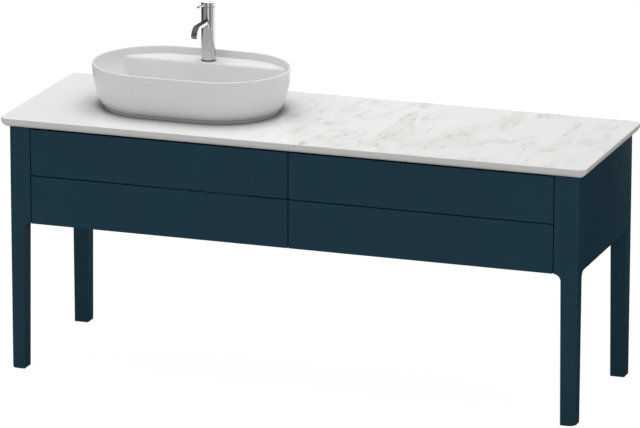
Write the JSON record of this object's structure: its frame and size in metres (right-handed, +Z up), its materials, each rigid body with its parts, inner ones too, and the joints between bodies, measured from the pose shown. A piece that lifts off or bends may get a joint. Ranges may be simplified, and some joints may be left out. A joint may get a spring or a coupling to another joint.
{
  "type": "vanity unit",
  "caption": "Free-standing bathroom vanity on sculpted legs: push-open drawers on telescopic runners, stone top, oval countertop washbowl with pop-up waste and single-lever mixer tap.",
  "frame": {"origin": "on the floor under the middle of the worktop", "axes": "+X to the right of someone facing the drawers, +Y towards the wall, +Z up"},
  "size_m": [1.733, 0.57, 1.0266],
  "materials": {
    "quartz_top": "polished white engineered stone with soft grey and beige veins",
    "white_ceramic": "glossy white glaze",
    "petrol_lacquer": "satin petrol blue lacquer",
    "carcass_board": "matt dark melamine",
    "drawer_board": "matt grey melamine",
    "zinc_steel": "zinc plated rolled steel",
    "chrome": "polished chrome",
    "brass": "machined",
    "black_rubber": "matt",
    "grey_plastic": "moulded"
  },
  "bodies": {
    "cabinet": {"worktop": "quartz_top", "front_left_leg": "petrol_lacquer", "front_right_leg": "petrol_lacquer", "rear_left_leg": "petrol_lacquer", "rear_right_leg": "petrol_lacquer", "leg_glides": "grey_plastic", "left_side_panel": "petrol_lacquer", "right_side_panel": "petrol_lacquer", "left_carcass_side": "carcass_board", "right_carcass_side": "carcass_board", "bottom_panel": "carcass_board", "back_panel": "carcass_board", "rear_top_rail": "carcass_board", "front_top_rail": "carcass_board", "centre_partition": "carcass_board", "cabinet_runners": "zinc_steel", "washbasin": "white_ceramic", "waste_body": "chrome", "waste_nut": "brass", "tap_body": "chrome", "tap_base_ring": "chrome", "tap_aerator": "grey_plastic", "tap_cartridge": "grey_plastic", "tap_shank": "brass", "tap_nut": "brass", "fixing_seals": "black_rubber"},
    "lower_left_drawer": {"lower_left_drawer_front": "petrol_lacquer", "lower_left_drawer_left_side": "drawer_board", "lower_left_drawer_right_side": "drawer_board", "lower_left_drawer_back": "drawer_board", "lower_left_drawer_bottom": "drawer_board", "lower_left_drawer_box_runners": "zinc_steel"},
    "lower_left_drawer_middle_runners": {"lower_left_drawer_middle_runners": "zinc_steel"},
    "lower_right_drawer": {"lower_right_drawer_front": "petrol_lacquer", "lower_right_drawer_left_side": "drawer_board", "lower_right_drawer_right_side": "drawer_board", "lower_right_drawer_back": "drawer_board", "lower_right_drawer_bottom": "drawer_board", "lower_right_drawer_box_runners": "zinc_steel"},
    "lower_right_drawer_middle_runners": {"lower_right_drawer_middle_runners": "zinc_steel"},
    "upper_left_drawer": {"upper_left_drawer_front": "petrol_lacquer", "upper_left_drawer_left_side": "drawer_board", "upper_left_drawer_right_side": "drawer_board", "upper_left_drawer_siphon_apron": "drawer_board", "upper_left_drawer_back": "drawer_board", "upper_left_drawer_bottom": "drawer_board", "upper_left_drawer_box_runners": "zinc_steel"},
    "upper_left_drawer_middle_runners": {"upper_left_drawer_middle_runners": "zinc_steel"},
    "upper_right_drawer": {"upper_right_drawer_front": "petrol_lacquer", "upper_right_drawer_left_side": "drawer_board", "upper_right_drawer_right_side": "drawer_board", "upper_right_drawer_back": "drawer_board", "upper_right_drawer_bottom": "drawer_board", "upper_right_drawer_box_runners": "zinc_steel"},
    "upper_right_drawer_middle_runners": {"upper_right_drawer_middle_runners": "zinc_steel"},
    "tap_swivel": {"tap_stem": "brass"},
    "tap_lever": {"tap_lever": "chrome"},
    "waste_plug": {"waste_plug": "chrome"}
  },
  "joints": [
    {"name": "lower_left_drawer_slide", "type": "slide", "parent": "cabinet", "child": "lower_left_drawer", "axis": [0, -1, 0], "range_m": [0, 0.38]},
    {"name": "lower_left_drawer_runner_slide", "type": "slide", "parent": "cabinet", "child": "lower_left_drawer_middle_runners", "axis": [0, -1, 0], "range_m": [0, 0.19]},
    {"name": "lower_right_drawer_slide", "type": "slide", "parent": "cabinet", "child": "lower_right_drawer", "axis": [0, -1, 0], "range_m": [0, 0.38]},
    {"name": "lower_right_drawer_runner_slide", "type": "slide", "parent": "cabinet", "child": "lower_right_drawer_middle_runners", "axis": [0, -1, 0], "range_m": [0, 0.19]},
    {"name": "upper_left_drawer_slide", "type": "slide", "parent": "cabinet", "child": "upper_left_drawer", "axis": [0, -1, 0], "range_m": [0, 0.38]},
    {"name": "upper_left_drawer_runner_slide", "type": "slide", "parent": "cabinet", "child": "upper_left_drawer_middle_runners", "axis": [0, -1, 0], "range_m": [0, 0.19]},
    {"name": "upper_right_drawer_slide", "type": "slide", "parent": "cabinet", "child": "upper_right_drawer", "axis": [0, -1, 0], "range_m": [0, 0.38]},
    {"name": "upper_right_drawer_runner_slide", "type": "slide", "parent": "cabinet", "child": "upper_right_drawer_middle_runners", "axis": [0, -1, 0], "range_m": [0, 0.19]},
    {"name": "tap_swivel_turn", "type": "hinge", "parent": "cabinet", "child": "tap_swivel", "pos_m": [-0.3945, 0.158, 1.0073], "axis": [0, 0, 1], "range_deg": [-45, 45]},
    {"name": "tap_lever_lift", "type": "hinge", "parent": "tap_swivel", "child": "tap_lever", "pos_m": [-0.3945, 0.179, 1.0073], "axis": [-1, 0, 0], "range_deg": [0, 20]},
    {"name": "waste_plug_lift", "type": "slide", "parent": "cabinet", "child": "waste_plug", "axis": [0, 0, 1], "range_m": [0, 0.008]}
  ],
  "couplings": [
    {"joint": "lower_left_drawer_runner_slide", "follows": "lower_left_drawer_slide", "ratio": 0.5},
    {"joint": "lower_right_drawer_runner_slide", "follows": "lower_right_drawer_slide", "ratio": 0.5},
    {"joint": "upper_left_drawer_runner_slide", "follows": "upper_left_drawer_slide", "ratio": 0.5},
    {"joint": "upper_right_drawer_runner_slide", "follows": "upper_right_drawer_slide", "ratio": 0.5}
  ]
}
